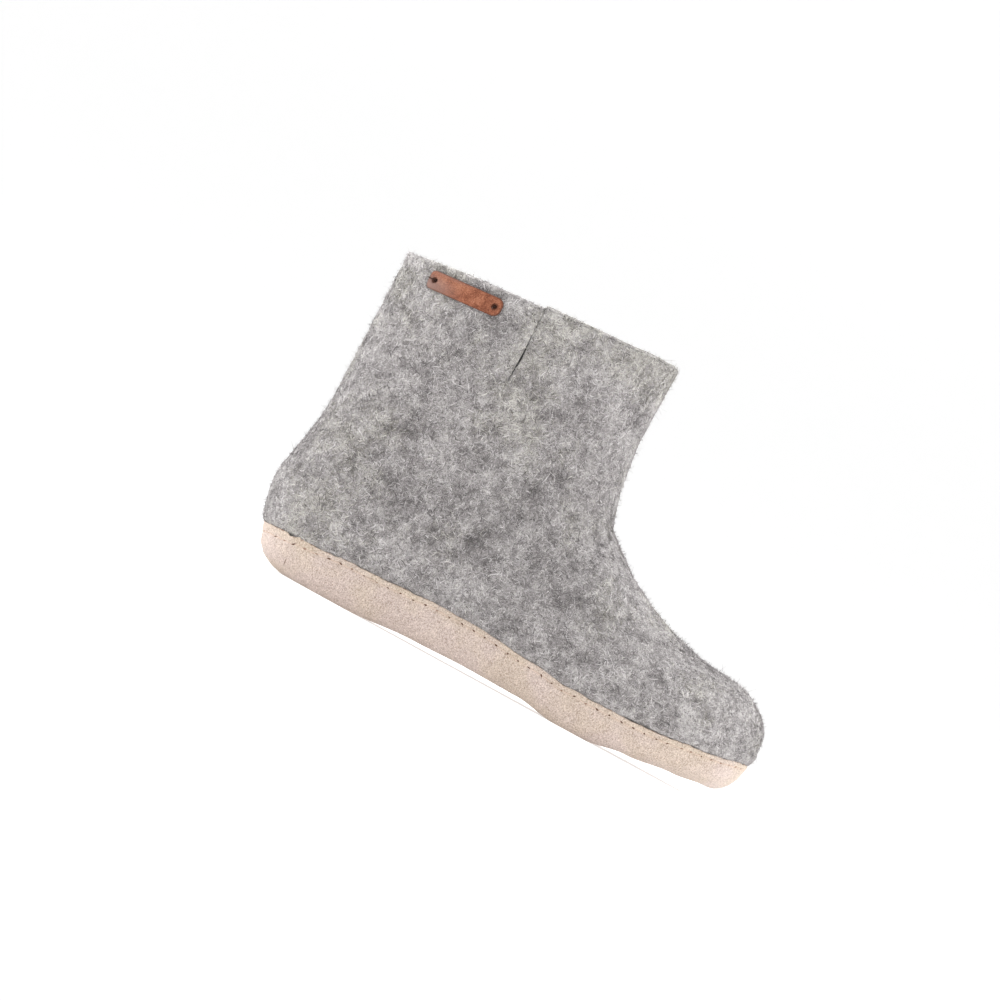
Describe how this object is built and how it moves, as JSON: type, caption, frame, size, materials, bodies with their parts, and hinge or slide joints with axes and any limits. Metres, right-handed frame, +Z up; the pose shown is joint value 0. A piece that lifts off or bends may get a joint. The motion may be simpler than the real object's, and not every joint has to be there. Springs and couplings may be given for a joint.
{
  "type": "felt ankle boot",
  "caption": "Right ankle boot of thick moulded wool felt on a stitched suede cup sole, with a short slit and a bare leather tag at the collar.",
  "frame": {"origin": "middle of the boot's bounding box, on the floor plane", "axes": "+X towards the toe, +Y towards the inner side of the foot, +Z up"},
  "size_m": [0.2638, 0.1, 0.1756],
  "materials": {
    "felt": "mottled grey wool felt with a short loose nap",
    "suede": "pale pinkish beige suede",
    "insole_felt": "flat grey felt",
    "tag_leather": "plain reddish brown leather"
  },
  "bodies": {
    "root": {"upper": "felt", "sole": "suede", "insole": "insole_felt", "tag": "tag_leather"}
  },
  "joints": []
}
